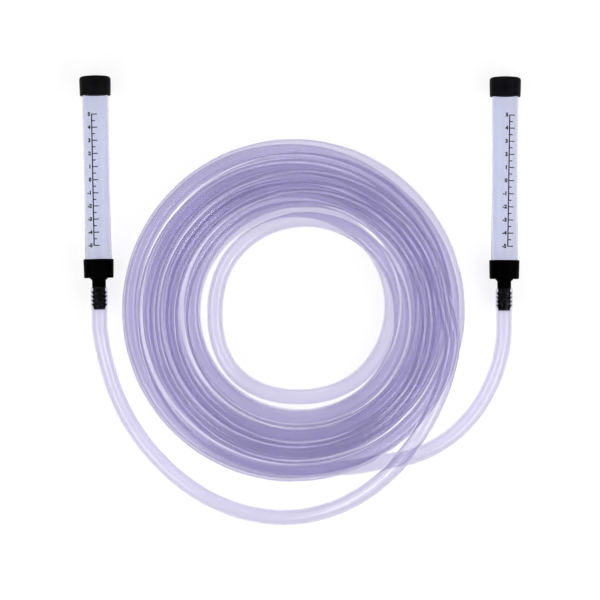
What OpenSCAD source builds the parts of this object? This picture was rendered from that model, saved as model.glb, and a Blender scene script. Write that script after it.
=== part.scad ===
// Water level: two clear sight tubes joined by one long hose, laid flat with the hose coiled between them

/* [Sight tube] */
// Outside diameter of the clear tube
tube_od = 20; // [17:0.5:24]
// Wall of the clear tube
tube_wall = 1; // [0.8:0.1:2]
// Length of the clear tube, with the ends that sit inside the cap and the fitting
tube_len = 148; // [120:1:200]
// Bevel on the edges of the clear tube's ends
tube_bevel = 0.25; // [0.1:0.05:0.3]

/* [Cap] */
// Height of the push-on cap
cap_h = 15.5; // [12:0.5:24]
// Wall of the cap around the tube
cap_wall = 1.95; // [1.5:0.05:3]
// Thickness of the cap's closed end
cap_crown = 2.5; // [1.5:0.1:4]
// Rounding of the cap's top edge
cap_round = 2.3; // [1:0.1:2.4]
// Diameter of the flat middle of the cap's closed end
crown_flat_d = 8; // [4:0.5:14]
// How far the closed end falls from its flat middle to the cap's side
crown_fall = 0.9; // [0.3:0.1:1.2]
// How much narrower the cap's mouth is than its belly, on each side
cap_draw = 0.25; // [0:0.05:0.5]
// Thickness of the sealing disc inside the cap
seal_t = 1; // [0.5:0.1:2]

/* [Fitting] */
// Height of the fitting's body that holds the tube
body_h = 14.5; // [12:0.5:20]
// Wall of the body around the tube
body_wall = 1.55; // [1.2:0.05:3]
// Thickness of the floor below the tube
body_floor = 2.5; // [1.5:0.1:4]
// How much narrower the body is at its lower end, on each side
body_draw = 0.3; // [0:0.05:0.5]
// Rounding of the body's edges
body_round = 0.8; // [0.3:0.1:1]
// Thickness of the sealing washer below the tube
washer_t = 1; // [0.5:0.1:2]
// Diameter of the hole in the sealing washer
washer_id = 12; // [8:0.5:14]
// Diameter of the shoulder where the neck leaves the body
shoulder_d = 13.3; // [12:0.1:16]
// Height of the shoulder before it curves in to the neck
shoulder_h = 0.9; // [0.3:0.1:1.5]
// Diameter of the neck
neck_d = 10.6; // [10:0.1:11]
// Length of the neck from the body to the hose's end
neck_len = 7; // [4:0.5:12]
// Diameter of the water passage
passage_d = 6; // [4:0.5:6.5]

/* [Hose barb] */
// Number of ridges on the barb
ridges = 4; // [2:1:4]
// Distance from one ridge to the next
ridge_pitch = 3.1; // [2.6:0.1:3.3]
// Diameter over the ridges
ridge_d = 11.6; // [10.8:0.1:12]
// Diameter between the ridges
root_d = 9.4; // [9:0.1:10]
// Distance from the hose's end to the first ridge
first_ridge = 3.4; // [2:0.1:4]
// Length of the ridged end that goes inside the hose
barb_len = 17.2; // [16.5:0.1:24]
// Diameter of the barb's nose
nose_d = 9; // [8.4:0.1:9.2]

/* [Hose] */
// Outside diameter of the hose
hose_od = 12; // [11:0.25:12.5]
// Wall of the hose
hose_wall = 1; // [0.8:0.1:1.5]

/* [Coil] */
// Radius of the first loop, to the hose's centre
coil_r = 127.3; // [122:0.1:132]
// Space between neighbouring loops of one layer
loop_gap = 2.5; // [2.4:0.1:3.4]
// Space between one layer and the next
layer_gap = 0.6; // [0.5:0.05:2]
// Loops wound in the first layer, from the outside in
loops_1 = 3.91; // [3:0.01:4]
// Loops wound in the second layer, from the inside out
loops_2 = 3.71; // [3:0.01:4]
// Loops wound in the third layer, from the outside in
loops_3 = 2.3; // [2:0.01:3]
// Loops wound in the fourth layer, from the inside out
loops_4 = 1.35; // [1:0.01:2]
// How far the inner loops lie off the outer loops' centre
loop_shift = 6.05; // [0:0.05:9]
// How far the innermost turn bows in twice from the loops next to it, past the space between loops
inner_drop = 2.4; // [0:0.1:4]

/* [Layout] */
// Distance between the two fittings
fitting_spacing = 310.4; // [300:0.1:330]
// Turn of the left sight tube, counterclockwise from above
left_turn = 1.14; // [-3:0.01:3]
// Turn of the right sight tube, counterclockwise from above
right_turn = -0.3; // [-3:0.01:3]

/* [Fits] */
// Gap between the tube and the sockets that hold it, on each side
socket_fit = 0.05; // [0.02:0.01:0.1]
// Gap between a seal's rim and its socket, on each side
seal_fit = 0.1; // [0.05:0.05:0.3]
// Gap between the hose and the barb's ridges, on each side
barb_fit = 0.05; // [0.02:0.01:0.1]

/* [Hidden] */
$fn = 64;
// Reach of a cut past the face that it opens
over = 1;

// Sight tube, cap and fitting stand on one axis, with height 0 at the underside of the fitting's body
tube_r = tube_od / 2;
bore_r = tube_r - tube_wall;
socket_r = tube_r + socket_fit;
cap_r = socket_r + cap_wall;
body_r = socket_r + body_wall;
tube_foot = body_floor + washer_t;
tube_top = tube_foot + tube_len;
cap_top = tube_top + seal_t + cap_crown;
cap_foot = cap_top - cap_h;
// Share of the cap's height at which it is widest
belly_share = 0.55;
crown_flat_r = crown_flat_d / 2;
crown_slope = atan(crown_fall / (cap_r - crown_flat_r));
seal_r = socket_r - seal_fit;
barb_top = -neck_len;
nose_foot = barb_top - barb_len;
ridge_r = ridge_d / 2;
root_r = root_d / 2;
nose_r = nose_d / 2;
neck_r = neck_d / 2;
passage_r = passage_d / 2;
shoulder_r = shoulder_d / 2;
shoulder_fillet = shoulder_r - neck_r;
shoulder_foot = shoulder_h + shoulder_fillet;
// Height of a ridge's steep face, width of its flat top and length of its slope
ridge_rise = 0.35;
ridge_land = 0.3;
ridge_slope = 2.1;
// Bevel on the barb's nose
nose_bevel = 0.4;
// Lengths of the tapers from the neck to the barb's root and from the root to the nose
neck_step = 1;
nose_step = 0.5;

// The hose's end is stretched over the barb
hose_r = hose_od / 2;
hose_bore_r = hose_r - hose_wall;
cuff_r = ridge_r + barb_fit + hose_wall;
cuff_lip = 0.4;
cuff_past_nose = 3;
cuff_foot = nose_foot - cuff_past_nose;
first_ridge_z = barb_top - first_ridge;
last_ridge_z = first_ridge_z - (ridges - 1) * ridge_pitch;

// Both assemblies lie on the floor with their axes level
axis_z = max(cap_r, body_r);
middle_x = 1.2;
left_foot = [middle_x - fitting_spacing / 2, -65, axis_z];
right_foot = [middle_x + fitting_spacing / 2, -65.8, axis_z];

// Coil: four layers that spiral in and out by turns, clockwise from above
coil_centre = [-7.2, -86.8];
coil_start_angle = -78;
shift_angle = -18;
// How far each layer was laid off the first one
layer_places = [[0, 0], [3.7, -4.2], [3.4, -4.6], [4.3, -8.3]];
layer_loops = [loops_1, loops_2, loops_3, loops_4];
layers = len(layer_loops);
climb_turns = 0.5;
loop_pitch = hose_od + loop_gap;
layer_rise = hose_od + layer_gap;
rings_per_loop = 24;
hose_sides = 8;

// Points of the free hose from the left fitting to the top of the coil
left_points = [
    [-148, -132, 8], [-139, -159, 6], [-125, -184, 6], [-107, -206, 6], [-85, -225, 6], [-60, -239, 6],
    [-33, -247, 6], [-6, -248.4, 9], [21.4, -242.6, 15], [44.7, -231.2, 23], [63.7, -216.4, 31],
    [78.5, -199.8, 38], [91.3, -180.4, 43], [102, -160, 44], [110, -138, 44]
];
// Points of the free hose from the right fitting to the bottom of the coil
right_points = [
    [154, -124, 10], [145, -150, 7], [130, -173, 6], [108, -192, 6], [86, -202, 6], [64, -206, 6]
];

// Vector of length 1 along v
function unit(v) = v / norm(v);

// Share of a climb that is done after part u of it, level at both ends
function eased(u) = u * u * (3 - 2 * u);

// Turns wound before a layer begins
function layer_start(k) = k == 0 ? 0 : layer_start(k - 1) + layer_loops[k - 1] + climb_turns;

// Even layers spiral in and odd layers spiral out
function spiral_way(k) = k % 2 == 0 ? -1 : 1;

// Radius at which a layer begins
function layer_r(k) =
    k == 0 ? coil_r : layer_r(k - 1) + spiral_way(k - 1) * loop_pitch * layer_loops[k - 1];

// Layer that the hose lies in after t turns
function layer_at(t) = max([for (k = [0 : layers - 1]) t >= layer_start(k) ? k : 0]);

// Turns of the climb out of its layer that the hose has made after t turns
function climb_at(t) = max(0, t - layer_start(layer_at(t)) - layer_loops[layer_at(t)]);

// Extra distance by which the innermost turn bows in, twice on the climb out of the first layer
function inner_dip(t) = layer_at(t) == 0 ? inner_drop * pow(sin(360 * climb_at(t) / climb_turns), 2) : 0;

// Radius after t turns: steady within a layer, turning back smoothly during a climb
function coil_radius(t) =
    let (k = layer_at(t), wound = t - layer_start(k) - climb_at(t), back = climb_at(t))
    layer_r(k) + spiral_way(k) * loop_pitch * (wound + back - back * back / climb_turns) - inner_dip(t);

// Share of the climb to the next layer that is done after t turns
function climb_share(t) = eased(climb_at(t) / climb_turns);

// Place of the hose's layer after t turns, sliding over to the next layer's place during a climb
function layer_place(t) =
    let (here = layer_places[layer_at(t)], next = layer_places[min(layer_at(t) + 1, layers - 1)])
    here + climb_share(t) * (next - here);

inner_r = coil_radius(loops_1 + climb_turns / 2);

// Place of the hose's centre after t turns
function coil_point(t) =
    let (
        r = coil_radius(t),
        angle = coil_start_angle - 360 * t,
        shift = loop_shift * (coil_r - r) / (coil_r - inner_r),
        centre = coil_centre + layer_place(t) + shift * [cos(shift_angle), sin(shift_angle)]
    )
    [
        centre[0] + r * cos(angle),
        centre[1] + r * sin(angle),
        hose_r + layer_rise * (layer_at(t) + climb_share(t))
    ];

coil_turns = layer_start(layers - 1) + loops_4;
coil_steps = ceil(coil_turns * rings_per_loop);
step = coil_turns / coil_steps;
coil_points = [for (i = [0 : coil_steps]) coil_point(i * step)];

// Both ends of the coil run straight for one hose diameter
tiny = 0.001;
start_way = unit(coil_point(tiny) - coil_point(0));
end_way = unit(coil_point(coil_turns) - coil_point(coil_turns - tiny));
coil_start = coil_points[0] - hose_od * start_way;
coil_end = coil_points[coil_steps] + hose_od * end_way;
coil_route = concat([coil_start], coil_points, [coil_end]);

// Least space between the hose and itself, measured at like angles on all loops and a little to each side
near_turns = [-0.02, -0.01, 0, 0.01, 0.02];
function least_gap() =
    min([
        for (i = [0 : coil_steps])
        for (k = [1 : floor(coil_turns)])
        for (near = near_turns)
        let (t = i * step, other = t + k + near)
        if (other <= coil_turns) norm(coil_point(other) - coil_points[i])
    ]) - hose_od;

// Direction of a fitting's axis, from the hose to the cap
function axis_way(turn) = [-sin(turn), cos(turn), 0];
left_end = left_foot + cuff_foot * axis_way(left_turn);
right_end = right_foot + cuff_foot * axis_way(right_turn);

left_route = concat(
    [left_end, left_end - hose_od * axis_way(left_turn)],
    left_points,
    [coil_end + hose_od * end_way, coil_end]
);
right_route = concat(
    [right_end, right_end - hose_od * axis_way(right_turn)],
    right_points,
    [coil_start - hose_od * start_way, coil_start]
);

// Heading of a route at each of its points, square to the ends
function headings(route) =
    let (last = len(route) - 1)
    [
        for (i = [0 : last])
        let (ahead = route[min(i + 1, last)], behind = route[max(i - 1, 0)])
        i == 0 || i == last ? unit(ahead - behind) : unit(unit(ahead - route[i]) + unit(route[i] - behind))
    ];

// Ring of points square to a heading, with one point at the top
function ring(place, heading, radius, sides) =
    let (side = unit(cross(heading, [0, 0, 1])), up = cross(side, heading))
    [for (k = [0 : sides - 1]) let (a = 360 * k / sides) place + radius * (cos(a) * up + sin(a) * side)];

// Hose swept along a route: outer wall, bore and both cut ends, in triangles
module swept_hose(route) {
    sides = hose_sides;
    ways = headings(route);
    last = len(route) - 1;
    inner = (last + 1) * sides;
    walls = [
        for (r = [hose_r, hose_bore_r])
        for (i = [0 : last])
        each ring(route[i], ways[i], r, sides)
    ];
    around = [for (k = [0 : sides - 1]) [k, (k + 1) % sides]];
    outer_faces = [
        for (i = [0 : last - 1])
        for (k = around)
        let (a = i * sides, b = a + sides)
        each [[a + k[0], b + k[0], b + k[1]], [a + k[0], b + k[1], a + k[1]]]
    ];
    bore_faces = [for (f = outer_faces) [f[0] + inner, f[2] + inner, f[1] + inner]];
    start_faces = [
        for (k = around)
        each [[k[0], k[1], k[1] + inner], [k[0], k[1] + inner, k[0] + inner]]
    ];
    tail = last * sides;
    end_faces = [for (f = start_faces) [f[0] + tail, f[2] + tail, f[1] + tail]];
    polyhedron(points = walls, faces = concat(outer_faces, bore_faces, start_faces, end_faces));
}

// Places a shape drawn up the axis onto the left or right fitting's axis
module on_left() {
    translate(left_foot) rotate([0, 0, left_turn]) rotate([-90, 0, 0]) children();
}
module on_right() {
    translate(right_foot) rotate([0, 0, right_turn]) rotate([-90, 0, 0]) children();
}

// What is cut from a corner, up and to the right, to leave it round, with a top side that may slope down
module corner_cut(r, slope = 0) {
    reach = r + over;
    difference() {
        polygon([[0, 0], [reach, 0], [reach, reach], [reach * tan(slope), reach]]);
        circle(r);
    }
}

// Clear tube with bevelled ends
module sight_tube() {
    color([0.8, 0.82, 0.92, 0.5])
    translate([0, 0, tube_foot])
    rotate_extrude()
    polygon([
        [bore_r, tube_bevel], [bore_r + tube_bevel, 0], [tube_r - tube_bevel, 0], [tube_r, tube_bevel],
        [tube_r, tube_len - tube_bevel], [tube_r - tube_bevel, tube_len],
        [bore_r + tube_bevel, tube_len], [bore_r, tube_len - tube_bevel]
    ]);
}

// Soft cap: a belly drawn in to its mouth, a rounded top edge, and a crown that falls from its flat middle
module cap() {
    mouth_bevel = 0.4;
    depth = cap_h - cap_crown;
    round_r = cap_r - cap_round;
    round_z = cap_h - (round_r - crown_flat_r) * tan(crown_slope) - cap_round / cos(crown_slope);
    color([0.07, 0.07, 0.08])
    translate([0, 0, cap_foot])
    rotate_extrude()
    difference() {
        polygon([
            [0, 0], [cap_r - cap_draw - mouth_bevel, 0], [cap_r - cap_draw, mouth_bevel],
            [cap_r, cap_h * belly_share], [cap_r, cap_h - crown_fall], [crown_flat_r, cap_h], [0, cap_h]
        ]);
        translate([round_r, round_z]) corner_cut(cap_round, crown_slope);
        translate([-over, -over]) square([socket_r + over, depth + over]);
    }
}

// Soft disc that closes the tube's mouth
module cap_seal() {
    color([0.25, 0.25, 0.27])
    translate([0, 0, tube_top])
    cylinder(r = seal_r, h = seal_t);
}

// Outline of the fitting from the body's rim to the barb's nose, with sharp corners
function fitting_outline() =
    let (foot_r = body_r - body_draw, slope_foot = ridge_land + ridge_slope)
    concat(
        [
            [0, body_h], [body_r, body_h], [body_r, body_h - body_round], [foot_r, body_round], [foot_r, 0],
            [shoulder_r, 0], [shoulder_r, -shoulder_foot], [neck_r, -shoulder_foot],
            [neck_r, barb_top], [root_r, barb_top - neck_step]
        ],
        [
            for (i = [0 : ridges - 1])
            let (z = first_ridge_z - i * ridge_pitch)
            each [
                [root_r, z + ridge_rise], [ridge_r, z], [ridge_r, z - ridge_land], [root_r, z - slope_foot]
            ]
        ],
        [
            [nose_r, last_ridge_z - slope_foot - nose_step], [nose_r, nose_foot + nose_bevel],
            [nose_r - nose_bevel, nose_foot], [0, nose_foot]
        ]
    );

// Barbed fitting: a socket for the tube, a shoulder that curves in to the neck, and ridges for the hose
module fitting() {
    color([0.07, 0.07, 0.08])
    rotate_extrude()
    difference() {
        polygon(fitting_outline());
        translate([body_r - body_round, body_h - body_round]) corner_cut(body_round);
        translate([body_r - body_draw - body_round, body_round]) mirror([0, 1]) corner_cut(body_round);
        translate([shoulder_r, -shoulder_foot]) circle(shoulder_fillet);
        translate([-over, body_floor]) square([socket_r + over, body_h]);
        translate([-over, nose_foot - over]) square([passage_r + over, body_floor - nose_foot + 2 * over]);
    }
}

// Flat ring that seals the tube's lower end
module washer() {
    color([0.25, 0.25, 0.27])
    translate([0, 0, body_floor])
    rotate_extrude()
    translate([washer_id / 2, 0]) square([seal_r - washer_id / 2, washer_t]);
}

// End of the hose, swollen over the ridges and narrowing to the free hose below the nose
module hose_cuff() {
    grip_r = neck_r + barb_fit;
    ridge_clear = ridge_r + barb_fit;
    color([0.8, 0.79, 0.93, 0.6])
    rotate_extrude()
    polygon([
        [grip_r, barb_top], [cuff_r - cuff_lip, barb_top], [cuff_r, first_ridge_z],
        [cuff_r - cuff_lip / 2, last_ridge_z], [hose_r, cuff_foot], [hose_bore_r, cuff_foot],
        [ridge_clear, last_ridge_z - ridge_land], [ridge_clear, first_ridge_z + ridge_rise]
    ]);
}

// One layer after another of loops, in one unbroken hose
module hose_coil() {
    echo(least_gap_of_coil = least_gap());
    color([0.72, 0.7, 0.9, 0.6]) swept_hose(coil_route);
}

// Free hose between a fitting and the coil
module hose_run(route) {
    color([0.8, 0.79, 0.93, 0.6]) swept_hose(route);
}

module left_sight_tube() { on_left() sight_tube(); }
module left_cap() { on_left() cap(); }
module left_cap_seal() { on_left() cap_seal(); }
module left_fitting() { on_left() fitting(); }
module left_washer() { on_left() washer(); }
module left_hose_cuff() { on_left() hose_cuff(); }
module left_hose_run() { hose_run(left_route); }
module right_hose_run() { hose_run(right_route); }
module right_hose_cuff() { on_right() hose_cuff(); }
module right_sight_tube() { on_right() sight_tube(); }
module right_cap() { on_right() cap(); }
module right_cap_seal() { on_right() cap_seal(); }
module right_fitting() { on_right() fitting(); }
module right_washer() { on_right() washer(); }

left_sight_tube();
left_cap();
left_cap_seal();
left_fitting();
left_washer();
left_hose_cuff();
left_hose_run();
hose_coil();
right_hose_run();
right_hose_cuff();
right_sight_tube();
right_cap();
right_cap_seal();
right_fitting();
right_washer();
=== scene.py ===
# %% [markdown]
# Water level: two clear sight tubes joined by one long hose, laid flat on a pale floor.
# The CAD model is the frame. It gives every piece its place, so this lesson only adds what CAD leaves
# plain: a round hose in one piece, clear tubes with a printed scale, and finishes that look like plastic.

# %% Load the frame
import math

import bpy
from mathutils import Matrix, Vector
from mathutils.geometry import interpolate_bezier


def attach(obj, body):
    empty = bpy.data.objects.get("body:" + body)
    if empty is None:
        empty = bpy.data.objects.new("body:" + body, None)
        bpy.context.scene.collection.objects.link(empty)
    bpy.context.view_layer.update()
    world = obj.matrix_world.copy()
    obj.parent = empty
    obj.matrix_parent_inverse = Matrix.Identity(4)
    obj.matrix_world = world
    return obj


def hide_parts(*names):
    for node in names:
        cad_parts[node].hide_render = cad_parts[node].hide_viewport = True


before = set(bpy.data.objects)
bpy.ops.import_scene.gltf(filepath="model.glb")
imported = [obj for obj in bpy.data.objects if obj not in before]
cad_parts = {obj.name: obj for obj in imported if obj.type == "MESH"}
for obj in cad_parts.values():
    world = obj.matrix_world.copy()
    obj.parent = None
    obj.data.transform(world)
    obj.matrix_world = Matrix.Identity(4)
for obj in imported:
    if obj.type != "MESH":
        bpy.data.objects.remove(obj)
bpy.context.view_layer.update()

mm = 0.001
bpy.ops.object.select_all(action="DESELECT")
print("nodes in the frame:", len(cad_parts))

# %% [markdown]
# The photograph was taken from straight above. The printed scale gives the size of a pixel on the tubes,
# but not how far off the camera was: 1.8 m is chosen, and the long lens follows from it.

# %% Camera
picture_middle = -81.85 * mm
camera_height = 1.8
bpy.ops.object.camera_add(location=(0, picture_middle, camera_height), rotation=(0, 0, 0))
camera = bpy.context.object
camera.name = "photo_camera"
camera.data.lens = 140.1
camera.data.sensor_width = 36
bpy.context.scene.camera = camera
print("camera height:", camera.location.z)

# %% [markdown]
# The hose is the largest piece: 12 mm outside, 10 mm inside, wound by hand into four layers of loops.
# A loop wound by hand drifts inwards until there is no room, climbs onto the loops below and drifts out
# again. No layer lies square on the one below, and the innermost turn lies a little apart. That is what
# this formula does, with the same sizes as the CAD model, so that the hose lies in its solid.

# %% Route of the coil
hose_r = 6.0 * mm
hose_wall = 1.0 * mm
coil_centre = Vector((-7.2, -86.8, 0.0)) * mm
coil_r = 127.3 * mm
loop_pitch = 14.5 * mm
layer_rise = 12.6 * mm
layer_loops = [3.91, 3.71, 2.3, 1.35]
layer_places = [Vector(place) * mm for place in ((0, 0, 0), (3.7, -4.2, 0), (3.4, -4.6, 0), (4.3, -8.3, 0))]
climb_turns = 0.5
inner_drop = 2.4 * mm
start_angle = math.radians(-78)
shift_way = Vector((math.cos(math.radians(-18)), math.sin(math.radians(-18)), 0)) * 6.05 * mm

layer_starts = [0.0]
layer_radii = [coil_r]
for layer, loops in enumerate(layer_loops[:-1]):
    inward = -1 if layer % 2 == 0 else 1
    layer_starts.append(layer_starts[-1] + loops + climb_turns)
    layer_radii.append(layer_radii[-1] + inward * loop_pitch * loops)
coil_turns = layer_starts[-1] + layer_loops[-1]
inner_r = layer_radii[1] - loop_pitch * climb_turns / 4


def coil_point(turn):
    layer = max(k for k in range(len(layer_loops)) if turn >= layer_starts[k] - 1e-9)
    inward = -1 if layer % 2 == 0 else 1
    back = max(0.0, turn - layer_starts[layer] - layer_loops[layer])
    wound = turn - layer_starts[layer] - back
    share = back / climb_turns
    climbed = share * share * (3 - 2 * share)
    radius = layer_radii[layer] + inward * loop_pitch * (wound + back - back * share)
    if layer == 0:
        radius -= inner_drop * math.sin(2 * math.pi * share) ** 2
    angle = start_angle - 2 * math.pi * turn
    place = coil_centre + Vector((math.cos(angle), math.sin(angle), 0)) * radius
    place += shift_way * (coil_r - radius) / (coil_r - inner_r)
    place += layer_places[layer].lerp(layer_places[min(layer + 1, len(layer_places) - 1)], climbed)
    place.z = hose_r + layer_rise * (layer + climbed)
    return place


loop_points = 24
coil_steps = math.ceil(coil_turns * loop_points)
coil_line = [coil_point(coil_turns * step / coil_steps) for step in range(coil_steps + 1)]
print("turns in the coil:", round(coil_turns, 2), "points:", len(coil_line))

# %% [markdown]
# Each end of the hose is pushed over a barb, where it swells. From there it falls to the floor in one
# easy bend. The left stretch climbs over the coil and joins its top loop, the right one its lowest loop.
# The heights along a fitting's axis are counted from the underside of the fitting's body.

# %% Route of the two ends
sides = {
    "left": (Vector((-154.0, -65.0, 12.0)) * mm, math.radians(1.14)),
    "right": (Vector((156.4, -65.8, 12.0)) * mm, math.radians(-0.3))
}
barb_sleeve = [
    (-7.0, 6.4), (-8.6, 6.55), (-10.4, 6.78), (-11.95, 6.6), (-13.5, 6.78), (-15.05, 6.6), (-16.6, 6.78),
    (-18.15, 6.58), (-19.7, 6.76), (-21.6, 6.45), (-23.8, 6.18), (-26.0, 6.05), (-28.5, 6.0),
    (-33.0, 6.0), (-39.0, 6.0)
]
left_run = [
    (-148, -132, 8), (-139, -159, 6), (-125, -184, 6), (-107, -206, 6), (-85, -225, 6), (-60, -239, 6),
    (-33, -247, 6), (-6, -248.4, 9), (21.4, -242.6, 15), (44.7, -231.2, 23), (63.7, -216.4, 31),
    (78.5, -199.8, 38), (91.3, -180.4, 43), (102, -160, 44), (110, -138, 44)
]
right_run = [(154, -124, 10), (145, -150, 7), (130, -173, 6), (108, -192, 6), (86, -202, 6), (64, -206, 6)]


def on_axis(side, height):
    foot, turn = sides[side]
    return foot + Vector((-math.sin(turn), math.cos(turn), 0)) * height * mm


def sleeve(side):
    return [(on_axis(side, height), radius * mm) for height, radius in barb_sleeve]


def free(points):
    return [(Vector(point) * mm, hose_r) for point in points]


straight_end = 12 * mm
start_way = (coil_line[0] - coil_line[1]).normalized()
end_way = (coil_line[-1] - coil_line[-2]).normalized()
route = sleeve("left") + free(left_run)
route += [(coil_line[-1] + end_way * straight_end * ends, hose_r) for ends in (2, 1)]
route += [(point, hose_r) for point in reversed(coil_line)]
route += [(coil_line[0] + start_way * straight_end * ends, hose_r) for ends in (1, 2)]
route += free(reversed(right_run)) + list(reversed(sleeve("right")))
print("points on the hose:", len(route))

# %% [markdown]
# A hose can be modelled ring by ring, but a curve does it better: automatic handles round the route, the
# bevel gives the round section, and each point's radius lets the ends swell. The curve is then made a
# mesh, and Solidify gives it the wall, because a clear hose shows its bore.

# %% Hose
hose_curve = bpy.data.curves.new("hose", "CURVE")
hose_curve.dimensions = "3D"
hose_curve.bevel_depth = hose_r
hose_curve.bevel_resolution = 10
hose_curve.resolution_u = 4
spline = hose_curve.splines.new("BEZIER")
spline.bezier_points.add(len(route) - 1)
for knot, (place, radius) in zip(spline.bezier_points, route):
    knot.co = place
    knot.radius = radius / hose_r
hose = bpy.data.objects.new("hose", hose_curve)
bpy.context.collection.objects.link(hose)
hose.select_set(True)
bpy.context.view_layer.objects.active = hose
bpy.ops.object.mode_set(mode="EDIT")
bpy.ops.curve.select_all(action="SELECT")
bpy.ops.curve.handle_type_set(type="AUTOMATIC")
bpy.ops.object.mode_set(mode="OBJECT")

knots = hose_curve.splines[0].bezier_points
hose_line = []
for knot, ahead in zip(knots[:-1], knots[1:]):
    hose_line += interpolate_bezier(knot.co, knot.handle_right, ahead.handle_left, ahead.co, 5)[:-1]
hose_line.append(knots[-1].co.copy())

bpy.ops.object.convert(target="MESH")
hose = bpy.context.object
wall = hose.modifiers.new("wall", "SOLIDIFY")
wall.thickness = hose_wall
wall.offset = -1
bpy.ops.object.modifier_apply(modifier="wall")
bpy.ops.object.shade_smooth_by_angle(angle=math.radians(40))
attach(hose, "level")
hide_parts("hose_coil", "left_hose_run", "right_hose_run", "left_hose_cuff", "right_hose_cuff")
print("maps on the hose:", hose.data.uv_layers.keys())

# %% [markdown]
# The sight tube is a length of clear acrylic pipe, 20 mm outside, with a 1 mm wall and broken edges.
# A circle is pulled up to a thin shell, Solidify gives it the wall, and the edges of its ends are bevelled.
# More sides than the CAD mesh has keep the refraction free of flat stripes.

# %% Sight tubes
tube_r = 10.0 * mm
tube_wall = 1.0 * mm
tube_foot = 3.5 * mm
tube_len = 148.0 * mm
tube_bevel = 0.25 * mm


def select_edges(piece, wanted):
    bpy.ops.object.mode_set(mode="EDIT")
    bpy.ops.mesh.select_mode(type="EDGE")
    bpy.ops.mesh.select_all(action="DESELECT")
    bpy.ops.object.mode_set(mode="OBJECT")
    points = piece.data.vertices
    chosen = 0
    for edge in piece.data.edges:
        edge.select = wanted(points[edge.vertices[0]].co, points[edge.vertices[1]].co)
        chosen += edge.select
    bpy.ops.object.mode_set(mode="EDIT")
    return chosen


def lay_on_axis(piece, side):
    foot, turn = sides[side]
    bpy.ops.object.select_all(action="DESELECT")
    piece.select_set(True)
    bpy.context.view_layer.objects.active = piece
    piece.rotation_euler = (math.radians(-90), 0, turn)
    piece.location = foot
    bpy.ops.object.transform_apply(location=True, rotation=True, scale=True)


def own_copy(piece, name):
    copy = piece.copy()
    copy.data = piece.data.copy()
    copy.name = name
    bpy.context.collection.objects.link(copy)
    return copy


bpy.ops.object.select_all(action="DESELECT")
bpy.ops.mesh.primitive_circle_add(vertices=128, radius=tube_r, location=(0, 0, tube_foot))
bpy.ops.object.transform_apply(location=True, rotation=True, scale=True)
tube = bpy.context.object
tube.name = "left_clear_tube"
bpy.ops.object.mode_set(mode="EDIT")
bpy.ops.mesh.select_all(action="SELECT")
bpy.ops.mesh.extrude_region_move(TRANSFORM_OT_translate={"value": (0, 0, tube_len)})
bpy.ops.mesh.select_all(action="SELECT")
bpy.ops.mesh.normals_make_consistent(inside=False)
bpy.ops.object.mode_set(mode="OBJECT")
wall = tube.modifiers.new("wall", "SOLIDIFY")
wall.thickness = tube_wall
wall.offset = -1
bpy.ops.object.modifier_apply(modifier="wall")
tube_top = tube_foot + tube_len
rim = 1e-6
found = select_edges(
    tube,
    lambda a, b: abs(a.z - b.z) < rim and (a.z < tube_foot + rim or a.z > tube_top - rim)
    and abs(a.xy.length - b.xy.length) < rim
)
bpy.ops.mesh.bevel(offset=tube_bevel, segments=2)
bpy.ops.object.mode_set(mode="OBJECT")
bpy.ops.object.shade_smooth_by_angle(angle=math.radians(25))
clear_tubes = {"left": tube, "right": own_copy(tube, "right_clear_tube")}
print("bevelled edges:", found, "faces in a tube:", len(tube.data.polygons))

# %% [markdown]
# The scale is screen-printed: one heavy line, a long tick at each centimetre, a short one at each half, and
# plain numbers from 5 to -5. It is drawn flat, as on the printer's screen, then Shrinkwrap presses it onto
# the tube, and Solidify gives the ink its thickness. The right tube's print is a little askew.

# %% One flat scale
ink_gap = 0.01 * mm
ink_t = 0.03 * mm
mark_t = 0.75 * mm
print_plane = -12.0 * mm
number_size = 3.9 * mm
number_weight = 0.24 * mm
centimetre = 10 * mm


def flat_bar(left, right, low, high, cuts):
    bpy.ops.object.select_all(action="DESELECT")
    place = ((left + right) / 2, print_plane, (low + high) / 2)
    bpy.ops.mesh.primitive_plane_add(size=1, location=place, rotation=(math.radians(90), 0, 0))
    bar = bpy.context.object
    bar.scale = (right - left, high - low, 1)
    bpy.ops.object.transform_apply(location=True, rotation=True, scale=True)
    bpy.ops.object.mode_set(mode="EDIT")
    bpy.ops.mesh.subdivide(number_cuts=cuts)
    bpy.ops.object.mode_set(mode="OBJECT")
    return bar


def repeated(bar, count):
    row = bar.modifiers.new("row", "ARRAY")
    row.count = count
    row.use_relative_offset = False
    row.use_constant_offset = True
    row.constant_offset_displace = (0, 0, -centimetre)
    bpy.ops.object.modifier_apply(modifier="row")
    return bar


def number(value, right, height):
    bpy.ops.object.select_all(action="DESELECT")
    bpy.ops.object.text_add()
    text = bpy.context.object
    text.data.body = str(value)
    text.data.align_x = "RIGHT"
    text.data.align_y = "CENTER"
    text.data.size = number_size
    text.data.offset = number_weight
    bpy.ops.object.convert(target="MESH")
    text = bpy.context.object
    text.rotation_euler = (math.radians(90), 0, 0)
    text.location = (right, print_plane, height)
    bpy.ops.object.transform_apply(location=True, rotation=True, scale=True)
    bpy.ops.object.mode_set(mode="EDIT")
    bpy.ops.mesh.select_all(action="SELECT")
    bpy.ops.mesh.subdivide(number_cuts=1)
    bpy.ops.object.mode_set(mode="OBJECT")
    return text


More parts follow.
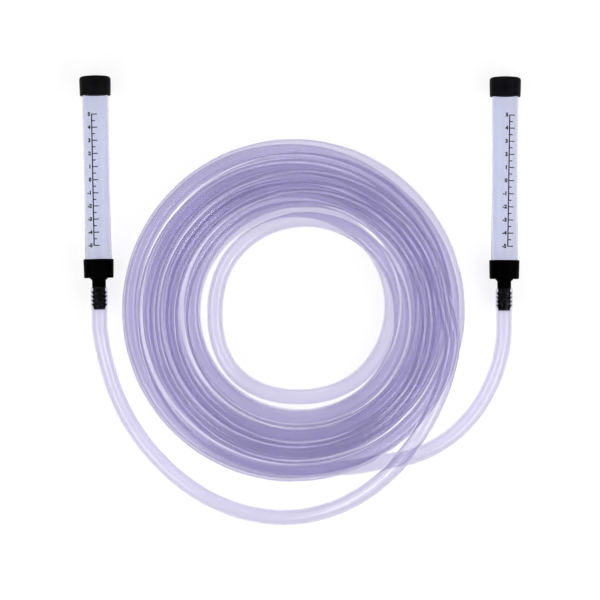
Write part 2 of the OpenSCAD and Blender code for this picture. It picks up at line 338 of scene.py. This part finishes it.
line_half = 0.45 * mm
line_end = 50.3 * mm
long_tick = 4.1 * mm
short_tick = 2.5 * mm
first_long = 50 * mm
first_short = 45 * mm
number_right = -1.1 * mm
half_t = mark_t / 2
marks = [flat_bar(-line_half, line_half, -line_end, line_end, 12)]
marks.append(repeated(flat_bar(line_half, long_tick, first_long - half_t, first_long + half_t, 4), 11))
marks.append(repeated(flat_bar(line_half, short_tick, first_short - half_t, first_short + half_t, 3), 10))
marks += [number(value, number_right, value * centimetre) for value in range(5, -6, -1)]
bpy.ops.object.select_all(action="DESELECT")
for mark in marks:
    mark.select_set(True)
bpy.context.view_layer.objects.active = marks[0]
bpy.ops.object.join()
flat_scale = bpy.context.object
flat_scale.name = "left_scale"
print("faces in the flat scale:", len(flat_scale.data.polygons))

# %% Press a scale onto each tube
prints = {"left": (-2.3 * mm, 74.8 * mm, 0.0), "right": (2.2 * mm, 74.95 * mm, math.radians(0.57))}
scales = {"left": flat_scale, "right": own_copy(flat_scale, "right_scale")}
for side, scale in scales.items():
    across, zero, skew = prints[side]
    bpy.ops.object.select_all(action="DESELECT")
    scale.select_set(True)
    bpy.context.view_layer.objects.active = scale
    scale.location = (across, 0, zero)
    scale.rotation_euler = (0, skew, 0)
    bpy.ops.object.transform_apply(location=True, rotation=True, scale=True)
    press = scale.modifiers.new("press", "SHRINKWRAP")
    press.target = clear_tubes[side]
    press.wrap_method = "PROJECT"
    press.use_project_y = True
    press.use_positive_direction = True
    press.wrap_mode = "ABOVE_SURFACE"
    press.offset = ink_gap
    bpy.ops.object.modifier_apply(modifier="press")
    ink = scale.modifiers.new("ink", "SOLIDIFY")
    ink.thickness = ink_t
    ink.offset = 1
    bpy.ops.object.modifier_apply(modifier="ink")
    reach = max(point.co.xy.length for point in scale.data.vertices)
    print(side, "ink reaches", round(reach / mm, 3), "mm from the axis")
for side in sides:
    for piece in (clear_tubes[side], scales[side]):
        lay_on_axis(piece, side)
        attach(piece, "level")
    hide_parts(side + "_sight_tube")

# %% [markdown]
# Finishes come next. A few effects are shared, so they are node groups. Moulded plastic has a fine grain,
# soft cloudy patches where it cooled unevenly, and rubbed places. Clear plastic has flow lines along its
# length and places that are less polished. A group only gives numbers and colours, and each material
# keeps its own shader.

# %% Helpers for nodes
def node_in(tree, kind, **settings):
    node = tree.nodes.new(kind)
    for name, value in settings.items():
        if name in node.inputs:
            node.inputs[name].default_value = value
        else:
            setattr(node, name, value)
    return node


def new_group(name, inputs, outputs):
    group = bpy.data.node_groups.new(name, "ShaderNodeTree")
    for label, kind, value in inputs:
        socket = group.interface.new_socket(label, in_out="INPUT", socket_type=kind)
        socket.default_value = value
    for label, kind in outputs:
        group.interface.new_socket(label, in_out="OUTPUT", socket_type=kind)
    return group, group.nodes.new("NodeGroupInput"), group.nodes.new("NodeGroupOutput")


def new_material(name):
    material = bpy.data.materials.new(name)
    material.use_nodes = True
    return material, material.node_tree, material.node_tree.nodes["Principled BSDF"]


def scaled(tree, value, low, high):
    node = node_in(tree, "ShaderNodeMapRange", **{"From Min": 0.3, "From Max": 0.7})
    tree.links.new(value, node.inputs["Value"])
    for name, limit in (("To Min", low), ("To Max", high)):
        if isinstance(limit, (int, float)):
            node.inputs[name].default_value = limit
        else:
            tree.links.new(limit, node.inputs[name])
    return node.outputs["Result"]


# %% Effects that finishes share
moulded, given, made = new_group(
    "moulded_skin",
    [
        ("Grain", "NodeSocketFloat", 1500.0), ("Patches", "NodeSocketFloat", 90.0),
        ("Smooth", "NodeSocketFloat", 0.3), ("Rubbed", "NodeSocketFloat", 0.5),
        ("Deep", "NodeSocketColor", (0.005, 0.005, 0.006, 1)),
        ("Pale", "NodeSocketColor", (0.02, 0.02, 0.022, 1))
    ],
    [("Color", "NodeSocketColor"), ("Roughness", "NodeSocketFloat"), ("Height", "NodeSocketFloat")]
)
place = node_in(moulded, "ShaderNodeTexCoord")
grain = node_in(moulded, "ShaderNodeTexNoise", Detail=4.0, Roughness=0.6)
patch = node_in(moulded, "ShaderNodeTexNoise", Detail=3.0, Roughness=0.55)
for noise, label in ((grain, "Grain"), (patch, "Patches")):
    moulded.links.new(place.outputs["Object"], noise.inputs["Vector"])
    moulded.links.new(given.outputs[label], noise.inputs["Scale"])
rough = scaled(moulded, patch.outputs["Fac"], given.outputs["Smooth"], given.outputs["Rubbed"])
tone = node_in(moulded, "ShaderNodeMix", data_type="RGBA")
moulded.links.new(scaled(moulded, patch.outputs["Fac"], 0.0, 1.0), tone.inputs["Factor"])
moulded.links.new(given.outputs["Deep"], tone.inputs[6])
moulded.links.new(given.outputs["Pale"], tone.inputs[7])
moulded.links.new(tone.outputs[2], made.inputs["Color"])
moulded.links.new(rough, made.inputs["Roughness"])
moulded.links.new(grain.outputs["Fac"], made.inputs["Height"])

clear, given, made = new_group(
    "clear_skin",
    [
        ("Vector", "NodeSocketVector", (0, 0, 0)), ("Flow", "NodeSocketFloat", 40.0),
        ("Polished", "NodeSocketFloat", 0.02), ("Hazy", "NodeSocketFloat", 0.08),
        ("Bright", "NodeSocketColor", (1, 1, 1, 1)), ("Dull", "NodeSocketColor", (0.96, 0.96, 0.98, 1))
    ],
    [("Color", "NodeSocketColor"), ("Roughness", "NodeSocketFloat"), ("Height", "NodeSocketFloat")]
)
flow = node_in(clear, "ShaderNodeTexNoise", Detail=3.0, Roughness=0.5)
haze = node_in(clear, "ShaderNodeTexNoise", Detail=2.0, Scale=45.0)
object_place = node_in(clear, "ShaderNodeTexCoord")
clear.links.new(given.outputs["Vector"], flow.inputs["Vector"])
clear.links.new(given.outputs["Flow"], flow.inputs["Scale"])
clear.links.new(object_place.outputs["Object"], haze.inputs["Vector"])
rough = scaled(clear, haze.outputs["Fac"], given.outputs["Polished"], given.outputs["Hazy"])
tone = node_in(clear, "ShaderNodeMix", data_type="RGBA")
clear.links.new(scaled(clear, flow.outputs["Fac"], 0.0, 1.0), tone.inputs["Factor"])
clear.links.new(given.outputs["Bright"], tone.inputs[6])
clear.links.new(given.outputs["Dull"], tone.inputs[7])
clear.links.new(tone.outputs[2], made.inputs["Color"])
clear.links.new(rough, made.inputs["Roughness"])
clear.links.new(flow.outputs["Fac"], made.inputs["Height"])
print("shared effects:", moulded.name, clear.name)

# %% [markdown]
# Hose and tubes are glass to the renderer, with an index of refraction that is low for plastic, because
# the photograph shows hardly any bent light behind them. Each face that light passes takes a little tint,
# so one layer of hose looks nearly white and four layers are lavender. A thin Volume Absorption adds to
# that where light runs along a wall. The hose has a soft gloss as its coat, outside and in the bore. Where
# it grips a barb it lies on black plastic and mirrors little, so its two ends have a finish with less.


# %% Clear finishes
def clear_material(name, gloss, finish):
    material, tree, skin = new_material(name)
    skin.inputs["Transmission Weight"].default_value = 1.0
    skin.inputs["IOR"].default_value = finish["index"]
    skin.inputs["Coat Weight"].default_value = gloss
    skin.inputs["Coat Roughness"].default_value = 0.22
    skin.inputs["Coat IOR"].default_value = 1.55
    place = node_in(tree, "ShaderNodeTexCoord")
    turn = node_in(tree, "ShaderNodeMapping", Scale=finish["stretch"])
    tree.links.new(place.outputs[finish["map"]], turn.inputs["Vector"])
    effect = node_in(tree, "ShaderNodeGroup", node_tree=clear)
    for label in ("Flow", "Polished", "Hazy", "Bright", "Dull"):
        effect.inputs[label].default_value = finish[label]
    tree.links.new(turn.outputs["Vector"], effect.inputs["Vector"])
    relief = node_in(tree, "ShaderNodeBump", Strength=finish["bump"], Distance=0.0002)
    tree.links.new(effect.outputs["Height"], relief.inputs["Height"])
    tree.links.new(effect.outputs["Color"], skin.inputs["Base Color"])
    tree.links.new(effect.outputs["Roughness"], skin.inputs["Roughness"])
    tree.links.new(relief.outputs["Normal"], skin.inputs["Normal"])
    inside = node_in(tree, "ShaderNodeVolumeAbsorption", Density=finish["density"], Color=finish["tint"])
    tree.links.new(inside.outputs["Volume"], tree.nodes["Material Output"].inputs["Volume"])
    path = node_in(tree, "ShaderNodeLightPath")
    passed = node_in(tree, "ShaderNodeBsdfTransparent", Color=(0.9, 0.9, 0.94, 1))
    either = node_in(tree, "ShaderNodeMixShader")
    tree.links.new(path.outputs["Is Shadow Ray"], either.inputs[0])
    tree.links.new(skin.outputs["BSDF"], either.inputs[1])
    tree.links.new(passed.outputs["BSDF"], either.inputs[2])
    tree.links.new(either.outputs["Shader"], tree.nodes["Material Output"].inputs["Surface"])
    return material


vinyl = {
    "index": 1.05, "map": "UV" if hose.data.uv_layers else "Object", "stretch": (40.0, 4.0, 1.0),
    "Flow": 3.0, "Polished": 0.06, "Hazy": 0.1, "bump": 0.02,
    "Bright": (0.814, 0.798, 0.88, 1), "Dull": (0.799, 0.783, 0.87, 1),
    "density": 15.0, "tint": (0.13, 0.06, 0.59, 1)
}
acrylic = {
    "index": 1.12, "map": "Object", "stretch": (8.0, 0.3, 8.0),
    "Flow": 30.0, "Polished": 0.02, "Hazy": 0.06, "bump": 0.03,
    "Bright": (0.757, 0.77, 0.858, 1), "Dull": (0.742, 0.755, 0.851, 1),
    "density": 4.0, "tint": (0.35, 0.4, 0.7, 1)
}
hose_gloss = 0.5
cuff_gloss = 0.05
tube_gloss = 0.0
hose_vinyl = clear_material("hose_vinyl", hose_gloss, vinyl)
cuff_vinyl = clear_material("cuff_vinyl", cuff_gloss, vinyl)
tube_acrylic = clear_material("tube_acrylic", tube_gloss, acrylic)
hose.data.materials.append(hose_vinyl)
hose.data.materials.append(cuff_vinyl)
cuff_reach = 19 * mm
cuff_faces = 0
for face in hose.data.polygons:
    if min((face.center - end).length for end in (hose_line[0], hose_line[-1])) < cuff_reach:
        face.material_index = 1
        cuff_faces += 1
for side in sides:
    clear_tubes[side].data.materials.append(tube_acrylic)
print("clear finishes:", hose_vinyl.name, cuff_vinyl.name, tube_acrylic.name, "cuff faces:", cuff_faces)

# %% [markdown]
# Caps are soft vinyl, fittings hard moulded plastic, and seals rubber. All three are black, so what tells
# them apart is how they shine: the caps are satin, the fittings a deeper black and the seals dull.


# %% Black finishes and ink
def moulded_material(name, bump, shine, **looks):
    material, tree, skin = new_material(name)
    effect = node_in(tree, "ShaderNodeGroup", node_tree=moulded)
    for label, value in looks.items():
        effect.inputs[label].default_value = value
    relief = node_in(tree, "ShaderNodeBump", Strength=bump, Distance=0.0001)
    tree.links.new(effect.outputs["Height"], relief.inputs["Height"])
    tree.links.new(effect.outputs["Color"], skin.inputs["Base Color"])
    tree.links.new(effect.outputs["Roughness"], skin.inputs["Roughness"])
    tree.links.new(relief.outputs["Normal"], skin.inputs["Normal"])
    skin.inputs["Specular IOR Level"].default_value = shine
    return material


finishes = {
    "cap": moulded_material(
        "cap_vinyl", 0.35, 0.03, Grain=1800.0, Patches=120.0, Smooth=0.38, Rubbed=0.55,
        Deep=(0.001, 0.001, 0.0012, 1), Pale=(0.004, 0.004, 0.005, 1)
    ),
    "fitting": moulded_material(
        "fitting_plastic", 0.25, 0.005, Grain=2600.0, Patches=150.0, Smooth=0.28, Rubbed=0.42,
        Deep=(0.0002, 0.0002, 0.0003, 1), Pale=(0.001, 0.001, 0.0012, 1)
    ),
    "cap_seal": moulded_material(
        "seal_rubber", 0.4, 0.1, Grain=1400.0, Patches=200.0, Smooth=0.6, Rubbed=0.75,
        Deep=(0.02, 0.02, 0.022, 1), Pale=(0.045, 0.045, 0.05, 1)
    )
}
finishes["washer"] = finishes["cap_seal"]
for side in sides:
    for part, finish in finishes.items():
        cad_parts[side + "_" + part].material_slots[0].material = finish
scale_ink = moulded_material(
    "scale_ink", 0.2, 0.05, Grain=4000.0, Patches=400.0, Smooth=0.5, Rubbed=0.7,
    Deep=(0.002, 0.002, 0.005, 1), Pale=(0.006, 0.007, 0.012, 1)
)
for scale in scales.values():
    scale.data.materials.append(scale_ink)
print("finishes on frame nodes:", sorted(finishes))

# %% [markdown]
# The floor is white paper. Its own colour is plain, and what the camera, gloss and glass see of it is
# lifted to white, as is the room around it. The rest is lit as usual, so the object keeps a soft shadow.

# %% Floor
def lifted(tree, strength):
    path = node_in(tree, "ShaderNodeLightPath")
    seen = path.outputs["Is Camera Ray"]
    for ray in ("Is Glossy Ray", "Is Transmission Ray"):
        either = node_in(tree, "ShaderNodeMath", operation="MAXIMUM")
        tree.links.new(seen, either.inputs[0])
        tree.links.new(path.outputs[ray], either.inputs[1])
        seen = either.outputs[0]
    lift = node_in(tree, "ShaderNodeMath", operation="MULTIPLY")
    lift.inputs[1].default_value = strength
    tree.links.new(seen, lift.inputs[0])
    return lift.outputs[0]


bpy.ops.object.select_all(action="DESELECT")
floor_drop = 0.2 * mm
floor_lift = 0.82
room_lift = 0.95
bpy.ops.mesh.primitive_plane_add(size=8, location=(0, picture_middle, -floor_drop))
floor = bpy.context.object
floor.name = "floor"
bpy.ops.object.transform_apply(location=True, rotation=True, scale=True)
paper, tree, skin = new_material("floor_paper")
skin.inputs["Base Color"].default_value = (0.2, 0.2, 0.2, 1)
skin.inputs["Roughness"].default_value = 0.9
skin.inputs["Specular IOR Level"].default_value = 0.0
skin.inputs["Emission Color"].default_value = (1, 1, 1, 1)
tree.links.new(lifted(tree, floor_lift), skin.inputs["Emission Strength"])
floor.data.materials.append(paper)
print("floor:", floor.name)

# %% Room
world = bpy.data.worlds.new("studio")
bpy.context.scene.world = world
world.use_nodes = True
tree = world.node_tree
place = node_in(tree, "ShaderNodeTexCoord")
split = node_in(tree, "ShaderNodeSeparateXYZ")
fade = node_in(tree, "ShaderNodeMapRange", interpolation_type="SMOOTHSTEP")
for name, value in (("From Min", 0.1), ("From Max", 0.95), ("To Min", 0.2), ("To Max", 0.1)):
    fade.inputs[name].default_value = value
tree.links.new(place.outputs["Generated"], split.inputs["Vector"])
tree.links.new(split.outputs["Z"], fade.inputs["Value"])
brighter = node_in(tree, "ShaderNodeMath", operation="MAXIMUM")
tree.links.new(lifted(tree, room_lift), brighter.inputs[0])
tree.links.new(fade.outputs["Result"], brighter.inputs[1])
tree.links.new(brighter.outputs[0], tree.nodes["Background"].inputs["Strength"])
tree.nodes["Background"].inputs["Color"].default_value = (1, 1, 1, 1)
print("room:", world.name)

# %% [markdown]
# A round hose mirrors a lamp only where its bend faces that lamp, so the lamps' places decide which parts
# of the coil shine. Two large soft lamps stand in front, left and right, as the bright streaks low on the
# coil show. Weaker ones at the sides, at the back and overhead give the other parts their edge.

# %% Lamps and render limits
lamp_middle = -0.09
# Name, turn in degrees, reach and height in metres, width, height of the lamp's face, and watts
lamps = [
    ("right", 2, 0.62, 0.5, 0.5, 0.4, 1.9),
    ("left", 178, 0.62, 0.5, 0.5, 0.4, 1.3),
    ("right_front", 320, 0.75, 0.75, 0.4, 0.6, 4.2),
    ("left_front", 222, 0.75, 0.75, 0.4, 0.6, 3.7),
    ("back", 85, 0.6, 0.3, 0.5, 0.2, 1.3),
    ("over", 90, 0.0, 2.4, 0.08, 1.2, 0.9)
]
for name, turn, reach, height, wide, high, energy in lamps:
    turn = math.radians(turn)
    place = Vector((reach * math.cos(turn), reach * math.sin(turn) + lamp_middle, height))
    lean = math.atan2(reach, height)
    bpy.ops.object.light_add(type="AREA", location=place, rotation=(0, lean, turn))
    lamp = bpy.context.object
    lamp.name = name + "_lamp"
    lamp.data.shape = "RECTANGLE"
    lamp.data.size = high
    lamp.data.size_y = wide
    lamp.data.energy = energy
bpy.context.scene.view_settings.view_transform = "Standard"
bpy.context.scene.cycles.max_bounces = 48
bpy.context.scene.cycles.transmission_bounces = 48
bpy.context.scene.cycles.glossy_bounces = 48
bpy.context.scene.cycles.transparent_max_bounces = 64
